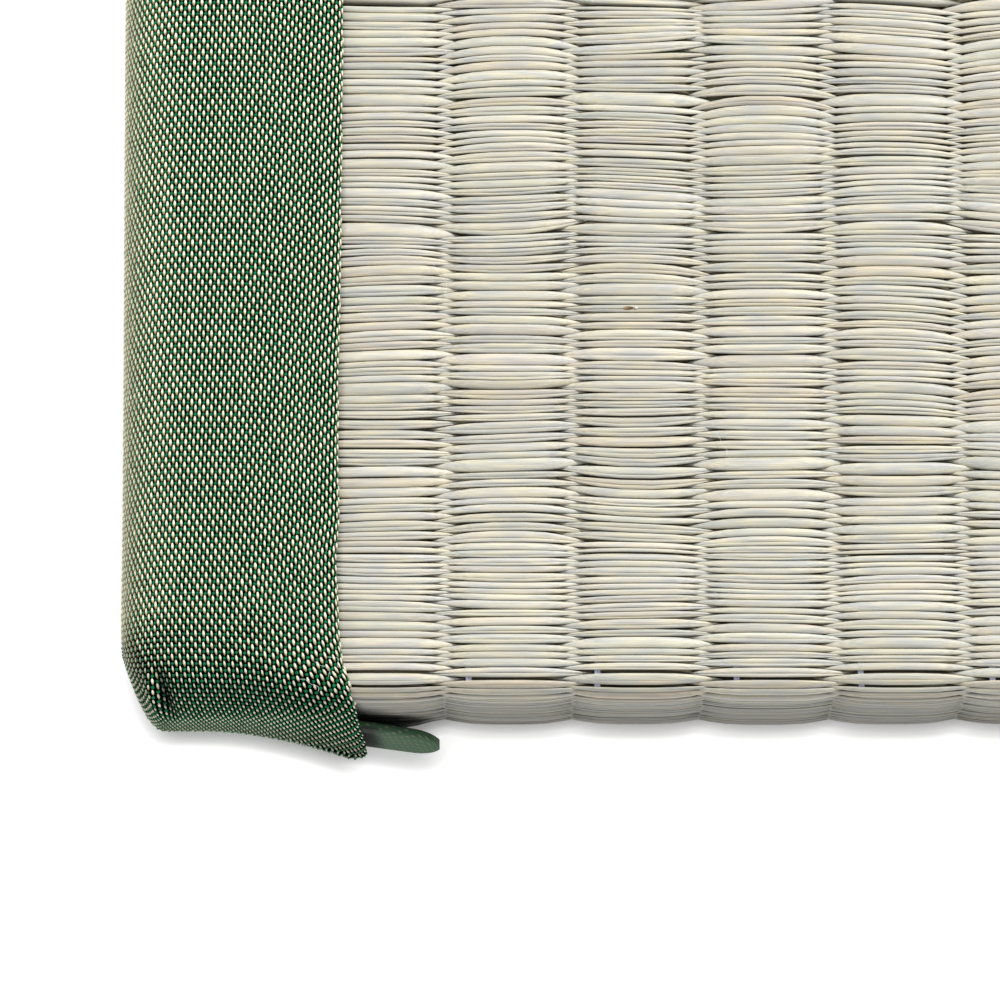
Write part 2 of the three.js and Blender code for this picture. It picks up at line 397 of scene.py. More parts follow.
ground_finish, tree, shader = new_finish("dark_ground_under_rushes")
shade = add_node(tree, "ShaderNodeValToRGB", {"Fac": streaks(tree, (60, 1300, 1300), 2.0)})
for element, (position, colour) in zip(shade.color_ramp.elements, ((0.35, GROUND_DARK), (0.7, GROUND_PALE))):
    element.position = position
    element.color = colour
fill(shader, {"Base Color": shade.outputs[0], "Roughness": 0.9})

RINGS_IN_RIB = 6
hidden = [0, 0.0005, 0.0017, 0.0036, 0.0074, 0.012, 0.017, 0.022, RIM]
under_border = [
    border_ring(distance, CLOTH + COVER_GAP, steps=GROUND_STEPS, shares=GROUND_SHARES) for distance in hidden]
mirror = np.array([-1, 1, 1])
shown = SIDE + RIB * (np.arange(RIBS * RINGS_IN_RIB + 1) / RINGS_IN_RIB)
shown = shown[np.abs(shown) < -LEFT - RIM - CLOTH]
rings = [*under_border, *[ground_ring(x) + np.array([rib_drift(x), 0, 0]) for x in shown]]
rings += [ring * mirror for ring in reversed(under_border)]
ground = skin("rush_ground", rings, ground_finish)
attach(ground, "root")
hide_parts("rush_cover")

# The rushes: long round stems laid side by side across the mat. Each passes over one rib and under the
# next, and its neighbours do the opposite, so every rib shows spindles whose tips dive in the valleys.
# The stems are squashed oval, dried pale grey-green, cream or straw, and no two are quite alike.
STEM_PITCH = 0.00056
STEM_SPREAD = 0.36
STEM_DEPTH = 0.00026
STEM_STEPS = (0.00026, 0.00115)
STEMS_FROM_PATH_END = 0.0016
FIRST_RIB = 2
LAST_RIB = RIBS - 3
TIP = 1.33
SPINDLE_AT = [0, 0.35, 0.55, 0.68, 0.8, 0.92, 1.06, 1.2, TIP]
SPINDLE_SINK = [0, 0.00003, 0.0001, 0.0002, 0.00032, 0.00046, 0.00063, 0.00085, 0.0012]
SPINDLE_WIDTH = [1, 1, 0.99, 0.96, 0.86, 0.68, 0.46, 0.25, 0.05]
STEM_SECTION_ACROSS = [-1, -0.95, -0.72, -0.25, 0.25, 0.72, 0.95, 1, 0]
STEM_SECTION_UP = [-0.2, 0.3, 0.78, 1, 1, 0.78, 0.3, -0.2, -0.7]
FAR_SECTION_ACROSS = [-1, 0, 1]
FAR_SECTION_UP = [-0.4, 1, -0.4]
NEAR_RIBS = 6
NEAR_REACH = 0.083
END_ROWS = [-0.0014, -0.0004, 0.00047]
END_GAP = 0.00018
END_PITCH = 0.8 * STEM_PITCH
LEAST_GAP, GAP_SPREAD = 0.00001, 0.00002
WIDE_GAP, WIDE_GAP_AFTER = 0.00008, 0.94
RIB_WANDER = [(11, 0.00024), (4, 0.0001)]
VALLEY_WANDER = [(14, 0.0003), (5, 0.0001)]
CALM_FROM, CALM_RUN = 0.002, 0.006
STEM_COLOURS = np.array([
    (0.570, 0.553, 0.472),
    (0.613, 0.594, 0.508),
    (0.585, 0.574, 0.506),
    (0.580, 0.537, 0.437),
    (0.580, 0.550, 0.472),
    (0.530, 0.522, 0.458),
    (0.540, 0.475, 0.360),
])
STEM_SHARES = [0.31, 0.29, 0.18, 0.06, 0.08, 0.07, 0.01]
SPLIT_SHARE = 0.6
SPLIT_AT = (0.3, 0.48)
SPLIT_WIDER_THAN = 0.0004
# Painted shade in the stems' colours: END_SHADE darkens them down the near end face, THIN_STEM_DARKER darkens
# the lower thin stem of a split pair, and UNDER_RIM_SHADE and BEHIND_TAIL_SHADE darken them under the
# border's rim and behind the tail.
END_SHADE_AT = [-0.017, -0.010, -0.0044, -0.002, 0]
END_SHADE = [0.32, 0.36, 0.46, 0.78, 1]
REACH_SPREAD, ROLL_SPREAD, LIFT_SPREAD = 0.025, 0.07, 0.00003
TONE_SPREAD, HUE_SPREAD = 0.045, 0.006
THIN_STEM_LOWER, THIN_STEM_DARKER = 0.00006, 0.88
UNDER_RIM_SHADE, BEHIND_TAIL_SHADE = 0.65, 0.93
chance = np.random.default_rng(7)


def cover_path():
    """The cover's outline along the ribs: distance s from where the near end turns down, y, z and slope."""
    reach = END - RUSH_TURN
    arc = np.linspace(0, math.pi / 2, 40)[1:]
    turn = np.stack([reach + RUSH_TURN * np.sin(arc), TOP - RUSH_TURN * (1 - np.cos(arc))], -1)
    wall_high = np.linspace(TOP - RUSH_TURN, FOOT_RISE, 30)[1:]
    lean = RUSH_LEAN * (TOP - wall_high) / TOP
    wall = np.stack([END - lean, wall_high], -1)
    foot = np.stack([
        END - RUSH_LEAN - FOOT_RUN * (1 - np.cos(arc)),
        FOOT_RISE * (1 - np.sin(arc)),
    ], -1)
    down = np.concatenate([[(reach, TOP)], turn, wall, foot])
    length = np.concatenate([[0], np.cumsum(np.hypot(*np.diff(down, axis=0).T))])
    near = np.stack([-length, -down[:, 0], down[:, 1]], -1)[::-1]
    far = np.stack([length + 2 * reach, down[:, 0], down[:, 1]], -1)
    path = np.concatenate([near, far])
    slope = np.gradient(path[:, 1:], path[:, 0], axis=0)
    slope /= np.linalg.norm(slope, axis=1, keepdims=True)
    return path[:, 0], path[:, 1] + MIDDLE, path[:, 2], slope


PATH_S, PATH_Y, PATH_Z, PATH_SLOPE = cover_path()


def on_path(s):
    along = [np.interp(s, PATH_S, column) for column in (PATH_Y, PATH_Z, *PATH_SLOPE.T)]
    length = np.hypot(along[2], along[3])
    return along[0], along[1], along[2] / length, along[3] / length


def stem_rows():
    """Where each stem crosses, as distances along the cover, and the extra gap beside it."""
    start, stop = PATH_S[0] + STEMS_FROM_PATH_END, PATH_S[-1] - STEMS_FROM_PATH_END
    count = int((stop - start) / STEM_PITCH * 1.3)
    steps = STEM_PITCH * chance.lognormal(-STEM_SPREAD ** 2 / 2, STEM_SPREAD, count)
    up = END_ROWS[-1] + np.cumsum(np.clip(steps, *STEM_STEPS))
    finer = END_PITCH * chance.lognormal(-0.02, 0.2, 80)
    down = END_ROWS[0] - np.cumsum(finer)
    rows = np.concatenate([down[down > start][::-1], END_ROWS, up[up < stop]])
    gaps = LEAST_GAP + GAP_SPREAD * chance.random(len(rows))
    gaps += WIDE_GAP * (chance.random(len(rows)) > WIDE_GAP_AFTER)
    first = int(np.argmin(np.abs(rows - END_ROWS[0])))
    gaps[first:first + len(END_ROWS)] = END_GAP
    return rows, gaps, first


ROWS, GAPS, END_ROW = stem_rows()


def wander_of(count, every, size):
    """A smooth wander along a line of rows, with a new turn every few rows."""
    knots = np.arange(0, count + every, every)
    return np.interp(np.arange(count), knots, chance.normal(0, size, len(knots)))


def wandering_rows():
    """Row positions at each rib's middle and at each valley: the weave is a little uneven from rib to rib."""
    count = len(ROWS)
    calm = ease((np.abs(ROWS) - CALM_FROM) / CALM_RUN)
    at_rib = np.zeros((count, RIBS))
    at_valley = np.zeros((count, RIBS + 1))
    for rib in range(RIBS):
        at_rib[:, rib] = sum(wander_of(count, *wander) for wander in RIB_WANDER)
    for valley in range(1, RIBS):
        at_valley[:, valley] = (at_rib[:, valley - 1] + at_rib[:, valley]) / 2
        for wander in VALLEY_WANDER:
            at_valley[:, valley] += wander_of(count, *wander)
    ribs = np.sort(ROWS[:, None] + at_rib * calm[:, None], axis=0)
    valleys = np.sort(ROWS[:, None] + at_valley * calm[:, None], axis=0)
    return ribs, valleys


ROW_AT, VALLEY_AT = wandering_rows()
ROW_COLOUR = STEM_COLOURS[chance.choice(len(STEM_COLOURS), len(ROWS), p=STEM_SHARES)]


def stems_over(ribs, low, high, split):
    """The spindles that show on these ribs between two distances along the cover. Many are two thin stems
    lying together, and those are split where `split` is true."""
    found = []
    for rib in ribs:
        row = np.arange(1, len(ROWS) - 1)
        row = row[(row - END_ROW + rib) % 2 == 1]
        row = row[(ROWS[row] >= low) & (ROWS[row] < high)]
        upper = ROW_AT[row + 1, rib] - GAPS[row + 1]
        lower = ROW_AT[row - 1, rib] + GAPS[row - 1]
        at_valley = (VALLEY_AT[row - 1] + 2 * VALLEY_AT[row] + VALLEY_AT[row + 1]) / 4
        left, right = at_valley[:, rib], at_valley[:, rib + 1]
        half, middle = (upper - lower) / 2, (upper + lower) / 2
        centre = np.full(len(row), SIDE + (rib + 0.5) * RIB)
        stems = np.stack([centre, left, middle, right, half, np.zeros(len(row)), row], -1)
        if split:
            parted = (chance.random(len(row)) < SPLIT_SHARE) & (half > SPLIT_WIDER_THAN)
            cut = chance.uniform(*SPLIT_AT, len(row))
            found.append(stems[~parted])
            for share, offset, part in ((1 - cut, cut, 1), (cut, cut - 1, 2)):
                shift = half * offset
                sides = [left + shift * 0.5, middle + shift, right + shift * 0.5]
                pair = np.stack([centre, *sides, half * share * 0.985, np.full(len(row), part), row], -1)
                found.append(pair[parted])
        else:
            found.append(stems)
    return np.concatenate(found)


def spindle_faces(stations, sides):
    """Faces of a closed form made of rings of points with a point at each tip: walls, then caps."""
    ring, step = np.meshgrid(np.arange(stations - 1), np.arange(sides), indexing="ij")
    a, b = ring * sides + step, ring * sides + (step + 1) % sides
    walls = np.stack([a, b, b + sides, a + sides], -1).reshape(-1, 4)
    step = np.arange(sides)
    after = (step + 1) % sides
    last = (stations - 1) * sides
    first_tip, last_tip = stations * sides, stations * sides + 1
    caps = np.concatenate([
        np.stack([np.full(sides, first_tip), after, step], -1),
        np.stack([np.full(sides, last_tip), last + step, last + after], -1),
    ])
    return walls, caps


def spindle_cells(count, stations, sides):
    """UV corners for the faces of many such forms: each form has a small square of its own."""
    def corners(*places):
        return np.stack([np.stack(np.broadcast_arrays(*place), -1) for place in places], 1)

    ring, step = np.meshgrid(np.arange(stations - 1), np.arange(sides), indexing="ij")
    ring, step = ring.ravel(), step.ravel()
    walls = corners((step, ring + 1), (step + 1, ring + 1), (step + 1, ring + 2), (step, ring + 2))
    side = np.arange(sides)
    caps = np.concatenate([
        corners((side + 0.5, 0), (side + 1, 1), (side, 1)),
        corners((side + 0.5, stations + 1), (side, stations), (side + 1, stations)),
    ])
    across = math.ceil(math.sqrt(count))
    number = np.arange(count)
    corner = np.stack([number % across, number // across], -1)[:, None, None]
    scale = 0.92 / np.array([sides, stations + 1])
    return [((corner + 0.04 + block[None] * scale) / across).reshape(-1, *block.shape[1:])
            for block in (walls, caps)]


def ringed_forms(name, rings, tips, finish):
    """Many closed forms in one piece: each has a ring of points at each station, and a point at each tip."""
    count, stations, sides = rings.shape[:3]
    points = np.concatenate([rings.reshape(count, -1, 3), tips], 1).reshape(-1, 3)
    base = (np.arange(count) * (stations * sides + 2))[:, None, None]
    faces = [(block[None] + base).reshape(-1, block.shape[1]) for block in spindle_faces(stations, sides)]
    made = make_mesh(name, points, faces, finish, spindle_cells(count, stations, sides))
    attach(made, "root")
    return made


def tint_forms(made, layer_name, colours, sides):
    """Give the rings and tips of many such forms their colours, which run from one tip to the other."""
    tints = np.concatenate([np.repeat(colours[:, 1:-1], sides, 1), colours[:, [0, -1]]], 1)
    tints = np.concatenate([tints, np.ones_like(tints[..., :1])], -1)
    layer = made.data.color_attributes.new(layer_name, "FLOAT_COLOR", "POINT")
    layer.data.foreach_set("color", tints.astype(np.float32).ravel())


def lay_stems(name, stems, stations, section):
    """Closed spindles over the ribs, each bent along its own line from valley to valley."""
    count = len(stems)
    centre, left, middle, right, half, part, row = stems.T
    row = row.astype(int)
    reach = 1 + chance.normal(0, REACH_SPREAD, (count, 1))
    roll = chance.normal(0, ROLL_SPREAD, count)
    lift = chance.normal(0, LIFT_SPREAD, count) - THIN_STEM_LOWER * (part == 2)
    depth = STEM_DEPTH * np.clip(half / STEM_PITCH, 0.35, 1.6) ** 0.6
    share = np.concatenate([[-TIP], stations, [TIP]])[None, :] * reach
    s = middle[:, None] + (right - left)[:, None] / 2 * share
    s += ((left + right) / 2 - middle)[:, None] * share ** 2
    sink = np.interp(np.abs(share), SPINDLE_AT, SPINDLE_SINK) - lift[:, None]
    width = np.interp(np.abs(share), SPINDLE_AT, SPINDLE_WIDTH) * half[:, None]
    y, z, ty, tz = on_path(s)
    x = centre[:, None] + share * RIB / 2
    x = x + rib_drift(x)
    across, upward = np.array(section)
    side = width[:, :, None] * across[None, None]
    fullness = np.clip(width / half[:, None], 0.2, 1) ** 0.6
    rise = (depth[:, None] * fullness)[:, :, None] * upward - (sink + depth[:, None])[:, :, None]
    rise = rise + side * roll[:, None, None]
    dim = behind_tail(x, z) * (y < MIDDLE)
    y = y - foot_swell(x, z) * (y < MIDDLE)
    points = np.stack([
        np.broadcast_to(x[:, :, None], side.shape),
        y[:, :, None] + ty[:, :, None] * side - tz[:, :, None] * rise,
        z[:, :, None] + tz[:, :, None] * side + ty[:, :, None] * rise,
    ], -1)
    points[..., 2] = np.maximum(points[..., 2], 0)
    laid = ringed_forms(name, points[:, 1:-1], points[:, [0, -1]].mean(2), stem_finish)
    # Painted shade: the thin stem of a pair is darker, and stems darken down the near end face, under the
    # border's rim and behind the tail.
    tint = ROW_COLOUR[row] * np.where(part == 2, THIN_STEM_DARKER, 1.0)[:, None]
    tint = tint * (1 + chance.normal(0, TONE_SPREAD, (count, 1)))
    tint = tint * (1 + chance.normal(0, HUE_SPREAD, (count, 3)))
    tint = np.clip(tint * np.interp(middle, END_SHADE_AT, END_SHADE)[:, None], 0, 1)
    under_rim = 1 - UNDER_RIM_SHADE * ease((RIM + 0.0014 - np.abs(np.abs(x) + LEFT)) / 0.0016)
    shade = (1 - BEHIND_TAIL_SHADE * dim) * under_rim
    tint_forms(laid, "stem_colour", tint[:, None] * shade[:, :, None], len(across))
    return laid


def ranged(tree, value, low, high, to_low=0.0, to_high=1.0):
    """A value from low to high, spread from to_low to to_high and held there beyond."""
    return add_node(tree, "ShaderNodeMapRange", {
        "Value": value, "From Min": low, "From Max": high, "To Min": to_low, "To Max": to_high}).outputs[0]


def scaled(tree, colour, strength):
    made = add_node(tree, "ShaderNodeVectorMath", {0: colour, "Scale": strength}, operation="SCALE")
    return made.outputs[0]


def blended(tree, share, first, second):
    return add_node(tree, "ShaderNodeMix", {0: share, 6: first, 7: second}, data_type="RGBA").outputs[2]


def relief(tree, height, strength, distance):
    return add_node(tree, "ShaderNodeBump", {
        "Height": height, "Strength": strength, "Distance": distance}).outputs[0]


COOL, WARM = (0.96, 0.985, 1.06, 1), (1.04, 1.005, 0.90, 1)
stem_finish, tree, shader = new_finish("dried_rush")
tint = add_node(tree, "ShaderNodeAttribute", {}, attribute_name="stem_colour")
fibre = streaks(tree, (70, 9000, 9000), 3.0)
cloud = streaks(tree, (220, 1700, 1700), 2.0)
fibre_shade = ranged(tree, fibre, 0.3, 0.7, 0.8, 1.12)
both = maths(tree, "MULTIPLY", fibre_shade, ranged(tree, cloud, 0.3, 0.7, 0.9, 1.08))
streak = blended(tree, ranged(tree, cloud, 0.36, 0.64), COOL, WARM)
mottled = add_node(tree, "ShaderNodeVectorMath", {
    0: scaled(tree, tint.outputs["Color"], both), 1: streak}, operation="MULTIPLY")
fill(shader, {"Base Color": mottled.outputs[0], "Roughness": 0.46, "Specular IOR Level": 0.5,
              "Normal": relief(tree, fibre, 0.35, 0.00006)})

fine_stations = np.array([-1.12, -0.96, -0.8, -0.58, -0.25, 0.25, 0.58, 0.8, 0.96, 1.12])
coarse_stations = np.array([-0.66, 0.66])
fine_section = [STEM_SECTION_ACROSS, STEM_SECTION_UP]
far_section = [FAR_SECTION_ACROSS, FAR_SECTION_UP]
near_ribs = range(FIRST_RIB, FIRST_RIB + NEAR_RIBS)
near_stems = stems_over(near_ribs, -1, NEAR_REACH, True)
stem_pieces = [lay_stems("rush_near_corner", near_stems, fine_stations, fine_section)]
FAR_PIECES = 4
far_ribs = np.array_split(np.arange(FIRST_RIB, LAST_RIB + 1), FAR_PIECES)
for number, ribs in enumerate(far_ribs, 1):
    near = [rib for rib in ribs if rib in near_ribs]
    rest = [rib for rib in ribs if rib not in near_ribs]
    stems = [stems_over(rest, -1, 2, False)] if rest else []
    if near:
        stems.append(stems_over(near, NEAR_REACH, 2, False))
    stem_pieces.append(lay_stems(f"rush_stems_{number}", np.concatenate(stems), coarse_stations, far_section))

# The warps: the white cotton threads that hold the rushes, one pair to a rib, laid along the mat under the
# stems. They show only in the gaps where the cover turns down over the near end.
WARP_IN_RIB = -0.0044
WARP_STRANDS = [-0.00016, 0.00016]
WARP_FROM, WARP_TO = 0.0018, -0.0075
WARP_RADIUS = 0.00022
WARP_SIDES = 6
WARP_SINK = 0.00082
WARP_WANDER = 0.0004
WARP_WAVE, WARP_WAVE_LONG = 0.00006, 0.0011


def tubes(name, lines, radius, sides, finish):
    """Closed round tubes, each along one line of points. The tubes have equal numbers of points."""
    lines = np.asarray(lines)
    run = np.gradient(lines, axis=1)
    run /= np.linalg.norm(run, axis=2, keepdims=True)
    side = np.cross(run, [0.31, 0.2, 0.93])
    side /= np.linalg.norm(side, axis=2, keepdims=True)
    up = np.cross(side, run)
    angle = np.arange(sides) * 2 * math.pi / sides
    around = side[:, :, None] * np.cos(angle)[:, None] + up[:, :, None] * np.sin(angle)[:, None]
    rings = lines[:, :, None] + radius * around
    tips = lines[:, [0, -1]] + run[:, [0, -1]] * np.array([-radius / 2, radius / 2])[:, None]
    return ringed_forms(name, rings, tips, finish)


def specks(tree, scale):
    """Noise that is as long as it is wide."""
    place = add_node(tree, "ShaderNodeTexCoord", {})
    noise = add_node(tree, "ShaderNodeTexNoise", {"Vector": place.outputs["Object"], "Scale": scale})
    return noise.outputs["Fac"]


WARP_SHADE, WARP_WHITE = (0.45, 0.49, 0.68, 1), (0.80, 0.83, 0.98, 1)
warp_finish, tree, shader = new_finish("white_cotton_warp")
fill(shader, {"Base Color": blended(tree, specks(tree, 2500.0), WARP_SHADE, WARP_WHITE), "Roughness": 0.8})

warp_lines = []
warp_s = np.linspace(WARP_FROM, WARP_TO, 20)
for rib in range(FIRST_RIB, LAST_RIB + 1):
    centre = SIDE + (rib + 0.5) * RIB + WARP_IN_RIB + chance.normal(0, WARP_WANDER)
    centre += rib_drift(centre)
    wave = WARP_WAVE * np.sin(warp_s / WARP_WAVE_LONG + chance.uniform(0, 6))
    y, z, ty, tz = on_path(warp_s)
    for strand in WARP_STRANDS:
        x = centre + strand + wave
        warp_lines.append(np.stack([x, y + tz * WARP_SINK, z - ty * WARP_SINK], -1))
warps = tubes("rush_warps", warp_lines, WARP_RADIUS, WARP_SIDES, warp_finish)

# The borders: one strip of green cloth with cream flecks along each long side, folded in at its inner edge,
# laid over the side, turned under and folded over both ends. The near left one has a loose, leaning fold.
WARP_PITCH = 0.0005
WEFT_PITCH = 0.0007
FLECK_FROM = 0.3205
RIM_WANDER_AT = [
    -0.42, -0.411, -0.406, -0.4012, -0.3965, -0.3915, -0.387, -0.377, -0.3675, -0.358, -0.348, -0.328]
RIM_WANDER = [0.0004, 0.0004, 0.00085, 0.00015, -0.0001, -0.0003, 0, -0.0002, -0.0002, 0, 0, 0.0001]
RIM_WAVE = 0.0003
RIM_WAVES = [(0.65, 0.022, 1), (0.35, 0.0095, 0)]
RIM_WAVE_FROM, RIM_WAVE_BLEND = -0.33, 0.03
RIM_WANDER_REACH = 0.006
RIM_WANDER_ABOVE, RIM_WANDER_RISE = 0.010, 0.0085


def rim_wander(y):
    near = np.interp(y, RIM_WANDER_AT, RIM_WANDER)
    rest = RIM_WAVE * sum(share * np.sin(y / long + start) for share, long, start in RIM_WAVES)
    blend = ease((y - RIM_WAVE_FROM) / RIM_WAVE_BLEND)
    return near * (1 - blend) + rest * blend


def rim_shift(u, points):
    """How far the wandering rim moves points sideways that lie a length u across the cloth from its fold."""
    raised = ease((points[..., 2] - RIM_WANDER_ABOVE) / RIM_WANDER_RISE)
    return ease(1 - np.abs(u) / RIM_WANDER_REACH) * rim_wander(points[..., 1]) * raised


def across_table():
    """Arc length across the border from the rim's fold (0) over the shoulder to the side."""
    distance = RIM - np.linspace(0, RIM, 400)
    height = np.array([BORDER_TOP - shoulder(d)[0] for d in distance])
    length = np.concatenate([[0], np.cumsum(np.hypot(np.diff(distance), np.diff(height)))])
    return length, distance


ACROSS, ACROSS_DISTANCE = across_table()
NOSE = CLOTH / 2


def place_across(u):
    """Distance in, inset and nose for a length across the cloth. Below 0 the cloth rolls under at the rim."""
    if u < 0:
        turn = min(math.pi, -u / NOSE)
        return RIM, NOSE * (1 - math.cos(turn)), NOSE * 0.8 * math.sin(turn)
    return float(np.interp(u, ACROSS, ACROSS_DISTANCE)), 0.0, 0.0


SIDE_SWELL = 0.0006
SIDE_SWELL_FROM, SIDE_SWELL_RUN = 0.012, 0.09
CREASE_DEPTH = 0.0007
CREASE_OUT = np.array([-0.50, -0.55, 0.67])
CREASE_START, CREASE_LONG = 0.0021, 0.0125
CREASE_IN, CREASE_SLANT = 0.0050, 0.13
CREASE_WIDTH = 0.00075
RIDGE, RIDGE_WIDTH, RIDGE_OFF = 0.75, 0.0007, 0.0014
NEAR_END = turn_starts + 0.004


def crease(distance, points):
    """How deep each point lies in the crease that runs down over the loose corner, from -1 on the ridge
    beside it to 1 along its valley."""
    y, z = points[..., 1], points[..., 2]
    down = np.clip(turn_starts - y, -1, 0.02) + z.max(-1, keepdims=True) - z
    strength = np.sin(math.pi * np.clip((down + CREASE_START) / CREASE_LONG, 0, 1)) ** 0.8
    from_valley = distance - (CREASE_IN + CREASE_SLANT * down)
    valley = np.exp(-(from_valley / CREASE_WIDTH) ** 2)
    ridge = RIDGE * np.exp(-((from_valley + RIDGE_OFF) / RIDGE_WIDTH) ** 2)
    return strength * (valley - ridge)


def softened(distance, points, loose):
    """The border's points with its side swelling away from the corner and, on the loose end, the crease."""
    along = ease((END - SIDE_SWELL_FROM - np.abs(points[..., 1] - MIDDLE)) / SIDE_SWELL_RUN)
    swell = SIDE_SWELL * along * ease(1 - distance / SIDE_SWELL_FROM)
    moved = points - np.stack([swell, 0 * swell, 0 * swell], -1)
    if loose:
        near = points[..., 1] < NEAR_END
        moved = moved - (CREASE_DEPTH * crease(distance, points) * near)[..., None] * CREASE_OUT
    moved[..., 2] = np.maximum(moved[..., 2], 0)
    return moved


def border_rings(loose):
    shoulder_u = [ACROSS[-1] - w for w in (0, 0.0006, 0.0013, 0.002, 0.0028)]
    outer_u = np.concatenate([shoulder_u, np.linspace(ACROSS[-1] - 0.0036, 0, 34)])
    nose_u = -NOSE * math.pi * np.array([0.2, 0.4, 0.6, 0.8])
    inner = [RIM, 0.0245, 0.022, 0.017, 0.012, 0.0074, 0.0045, 0.0025, 0.0012, 0.0004, 0]
    places = [(u, *place_across(u)) for u in [*outer_u, *nose_u]]
    places += [(-NOSE * math.pi - (RIM - distance), distance, CLOTH, 0.0) for distance in inner]
    shares = TOP_SHARES if loose else np.linspace(0.008, END, 56) / END
    rings = np.array([
        softened(distance, border_ring(distance, inset, loose, nose, shares=shares), loose)
        for _, distance, inset, nose in places])
    lengths = np.array([place[0] for place in places])
    rings[:, :, 0] += rim_shift(lengths[:, None], rings)
    return rings, lengths


def along_ring(rings):
    """Arc length along each ring from the mat's middle: positive towards the near end."""
    steps = np.linalg.norm(np.diff(rings, axis=1), axis=2)
    length = np.concatenate([np.zeros((len(rings), 1)), np.cumsum(steps, axis=1)], axis=1)
    half = rings.shape[1] // 2
    return length[:, half:half + 1] - length


BEND_FROM = 0.399
COLUMN_LEAN, COLUMN_BEND, COLUMN_UNBEND = 0.045, 9.0, 110
ROW_DIP = 0.075
RIM_DIP, RIM_DIP_REACH, RIM_DIP_CURVE = 0.0017, 0.013, 2.2
CROWDING, CROWDING_REACH = 0.0007, 0.006


def weave_place(u, v):
    """Weave coordinates for a place on the cloth: columns lean and rows dip, because the cloth was pulled."""
    bent = np.clip(v - BEND_FROM, 0, 0.03)
    lean = COLUMN_LEAN * (v - BEND_FROM) - COLUMN_BEND * bent ** 2 + COLUMN_UNBEND * bent ** 3
    dip = ROW_DIP * u - RIM_DIP * np.clip(1 - u / RIM_DIP_REACH, 0, 1.2) ** RIM_DIP_CURVE
    crowded = CROWDING * (1 - np.exp(-np.clip(u, -0.002, 1) / CROWDING_REACH))
    return u + crowded - lean, v + dip


def oval_mask(tree, u, v, shift_u, shift_v, half_u, half_v):
    """1 in the middle of ovals set two warps and two wefts apart, falling to 0 at their rims and below."""
    def squared(value, shift, pitch, half):
        away = maths(tree, "PINGPONG", maths(tree, "ADD", value, shift), pitch)
        return maths(tree, "POWER", maths(tree, "DIVIDE", away, half), 2.0)

    across, along = squared(u, shift_u, WARP_PITCH, half_u), squared(v, shift_v, WEFT_PITCH, half_v)
    return maths(tree, "SUBTRACT", 1.0, maths(tree, "ADD", across, along))


def checked_ovals(tree, place, start, size):
    """Ovals on every second crossing of the weave, like one colour of a checkered board."""
    u, v = place.outputs["X"], place.outputs["Y"]
    return maths(tree, "MAXIMUM", oval_mask(tree, u, v, start, 0.0, *size),
                 oval_mask(tree, u, v, WARP_PITCH - start, WEFT_PITCH, *size))


def in_weave(tree):
    """A point's place in the weave, and its pattern's strength there or, on the tail, its painted shade."""
    weave = add_node(tree, "ShaderNodeAttribute", {}, attribute_name="weave")
    return add_node(tree, "ShaderNodeSeparateXYZ", {"Vector": weave.outputs["Vector"]})


def lay_weave(piece, u, v, strength):
    """Give a skin's points their weave places, and the pattern's strength or, on the tail, painted shade."""
    flat = np.stack([u, v, strength], -1).reshape(-1, 3)
    flat = np.concatenate([flat, flat[:1], flat[-1:]])
    layer = piece.data.attributes.new("weave", "FLOAT_VECTOR", "POINT")
    layer.data.foreach_set("vector", flat.astype(np.float32).ravel())


# DEEP_GREEN, the near black between flecks and knots, is partly the dark green weft and partly painted shade
# in the slits between the threads.
CREAM = (0.60, 0.565, 0.40, 1)
GREEN = (0.001, 0.155, 0.06, 1)
DEEP_GREEN = (0.0003, 0.0022, 0.0010, 1)
FLECK_OVAL = (0.00018, 0.00046)
KNOT_OVAL = (0.00019, 0.00022)

cloth_finish, tree, shader = new_finish("green_fleck_cloth")
place = in_weave(tree)
fleck = ranged(tree, checked_ovals(tree, place, 0.0, FLECK_OVAL), 0.0, 0.25)
fleck = maths(tree, "MULTIPLY", fleck, place.outputs["Z"])
knot = ranged(tree, checked_ovals(tree, place, WARP_PITCH, KNOT_OVAL), 0.0, 0.4)
knot = maths(tree, "MULTIPLY", knot, place.outputs["Z"])
threads = blended(tree, knot, DEEP_GREEN, GREEN)
fill(shader, {"Base Color": blended(tree, fleck, threads, CREAM), "Roughness": 0.8, "Specular IOR Level": 0.0,
              "Normal": relief(tree, maths(tree, "MAXIMUM", fleck, knot), 0.8, 0.00015)})


def lay_border(name, loose, flip):
    rings, lengths = border_rings(loose)
    v = along_ring(rings)
    u = np.broadcast_to(lengths[:, None], v.shape)
    woven_u, woven_v = weave_place(u, v)
    if flip:
        rings = rings * mirror
    border = skin(name, rings, cloth_finish)
    lay_weave(border, woven_u, woven_v, np.where(loose & (v > FLECK_FROM), 0.0, 1.0))
    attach(border, "root")
    return border


left_border = lay_border("border_cloth_left", True, False)
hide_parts("border_left")
right_border = lay_border("border_cloth_right", False, True)
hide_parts("border_right")

# The flecks near the loose corner: each is a float of the cream warp over a green weft, and between two
# floats the green weft shows as a small knot. Dark slits lie between the columns.
FLECK_LIFT = 0.00008
GRID_STEP = 0.0004
CREAM_THREAD = np.array([0.82, 0.79, 0.62])
# Painted shade: the dark olive of a fleck's lower end, which faces away from the lamp.
SHADED_FLOAT_END = np.array([0.37, 0.325, 0.125])
LOW_TONE = np.array([0.17, 0.23, 0.15])
ROOM_LIMITS = (0.3, 1.15)
